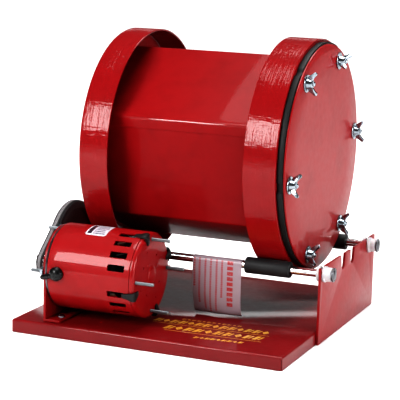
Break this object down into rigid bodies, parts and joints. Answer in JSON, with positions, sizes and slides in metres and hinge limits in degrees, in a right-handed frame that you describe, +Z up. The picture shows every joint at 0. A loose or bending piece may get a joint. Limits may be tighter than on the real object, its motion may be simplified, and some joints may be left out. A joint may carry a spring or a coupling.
{
  "type": "rotary tumbler",
  "caption": "Bench-top rotary tumbler: a motor and belt turn a rubber-sleeved shaft, which rolls a rubber-lined hexagonal drum with a bolted lid above a steel tray.",
  "frame": {"origin": "middle of the bounding box's bottom face, on the bench", "axes": "+X along the drum and shafts, from the belt side to the lid; +Y from the motor at the front to the idler shaft at the back; +Z up"},
  "size_m": [0.3004, 0.3022, 0.2914],
  "materials": {
    "red_enamel": "glossy stoved enamel",
    "bright_steel": "ground bright steel",
    "zinc_plate": "bright zinc plate",
    "dark_steel": "blackened steel",
    "black_rubber": "matt moulded rubber",
    "white_nylon": "natural nylon",
    "black_plastic": "satin moulded plastic",
    "copper_wire": "enamelled copper",
    "bronze": "sintered bronze",
    "cast_aluminium": "die-cast",
    "printed_film": "thin printed film"
  },
  "bodies": {
    "base": {"base_tray": "red_enamel", "right_end_plate": "red_enamel", "left_end_plate": "red_enamel", "front_left_bushing": "white_nylon", "front_right_bushing": "white_nylon", "back_left_bushing": "white_nylon", "back_right_bushing": "white_nylon", "bracket_screw_1": "zinc_plate", "bracket_screw_2": "zinc_plate", "bracket_screw_3": "zinc_plate", "motor_shell": "red_enamel", "motor_end_cap": "red_enamel", "motor_end_bell": "dark_steel", "stator_core": "dark_steel", "field_winding": "copper_wire", "motor_stud_1": "zinc_plate", "motor_stud_2": "zinc_plate", "motor_stud_3": "zinc_plate", "motor_stud_4": "zinc_plate", "stud_nut_1": "zinc_plate", "stud_nut_2": "zinc_plate", "stud_nut_3": "zinc_plate", "stud_nut_4": "zinc_plate", "cap_clip_1": "black_plastic", "cap_clip_2": "black_plastic", "cap_clip_3": "black_plastic", "cap_clip_4": "black_plastic", "cord_grommet": "black_rubber", "power_cord": "black_rubber", "motor_left_bearing": "bronze", "motor_right_bearing": "bronze", "notice_tag": "printed_film", "drive_belt": "black_rubber"},
    "drum": {"drum_barrel": "red_enamel", "left_ring": "red_enamel", "right_ring": "red_enamel", "stud_flange": "red_enamel", "rubber_liner": "black_rubber"},
    "drive_roller": {"drive_shaft": "bright_steel", "drive_pulley": "cast_aluminium", "front_left_sleeve": "black_rubber", "front_right_sleeve": "black_rubber", "front_push_nut": "dark_steel"},
    "idler_roller": {"idler_shaft": "bright_steel", "back_left_sleeve": "black_rubber", "back_right_sleeve": "black_rubber", "back_left_push_nut": "dark_steel", "back_right_push_nut": "dark_steel"},
    "rotor": {"motor_shaft": "bright_steel", "rotor_core": "cast_aluminium", "cooling_fan": "black_plastic", "motor_pulley": "bright_steel"},
    "lid": {"lid": "red_enamel"},
    "wing_nut_1": {"wing_nut_1": "zinc_plate"},
    "wing_nut_2": {"wing_nut_2": "zinc_plate"},
    "wing_nut_3": {"wing_nut_3": "zinc_plate"},
    "wing_nut_4": {"wing_nut_4": "zinc_plate"},
    "wing_nut_5": {"wing_nut_5": "zinc_plate"},
    "wing_nut_6": {"wing_nut_6": "zinc_plate"}
  },
  "joints": [
    {"name": "drum_spin", "type": "hinge", "parent": "base", "child": "drum", "pos_m": [0, 0.0326, 0.17285], "axis": [1, 0, 0], "continuous": true},
    {"name": "drive_roller_spin", "type": "hinge", "parent": "base", "child": "drive_roller", "pos_m": [0, -0.0419, 0.07], "axis": [1, 0, 0], "continuous": true},
    {"name": "idler_roller_spin", "type": "hinge", "parent": "base", "child": "idler_roller", "pos_m": [0, 0.1071, 0.07], "axis": [1, 0, 0], "continuous": true},
    {"name": "rotor_spin", "type": "hinge", "parent": "base", "child": "rotor", "pos_m": [-0.07015, -0.1019, 0.0632], "axis": [1, 0, 0], "continuous": true},
    {"name": "lid_slide", "type": "slide", "parent": "drum", "child": "lid", "axis": [1, 0, 0], "range_m": [0, 0.0149]},
    {"name": "wing_nut_1_turn", "type": "hinge", "parent": "lid", "child": "wing_nut_1", "pos_m": [0.11185, 0.13318, 0.18645], "axis": [1, 0, 0], "continuous": true},
    {"name": "wing_nut_2_turn", "type": "hinge", "parent": "lid", "child": "wing_nut_2", "pos_m": [0.11185, 0.07111, 0.26676], "axis": [1, 0, 0], "continuous": true},
    {"name": "wing_nut_3_turn", "type": "hinge", "parent": "lid", "child": "wing_nut_3", "pos_m": [0.11185, -0.02947, 0.25316], "axis": [1, 0, 0], "continuous": true},
    {"name": "wing_nut_4_turn", "type": "hinge", "parent": "lid", "child": "wing_nut_4", "pos_m": [0.11185, -0.06799, 0.15925], "axis": [1, 0, 0], "continuous": true},
    {"name": "wing_nut_5_turn", "type": "hinge", "parent": "lid", "child": "wing_nut_5", "pos_m": [0.11185, -0.00592, 0.07894], "axis": [1, 0, 0], "continuous": true},
    {"name": "wing_nut_6_turn", "type": "hinge", "parent": "lid", "child": "wing_nut_6", "pos_m": [0.11185, 0.09467, 0.09254], "axis": [1, 0, 0], "continuous": true}
  ],
  "couplings": [
    {"joint": "drive_roller_spin", "follows": "drum_spin", "ratio": -13.941},
    {"joint": "idler_roller_spin", "follows": "drum_spin", "ratio": -13.941},
    {"joint": "rotor_spin", "follows": "drum_spin", "ratio": -57.172}
  ]
}
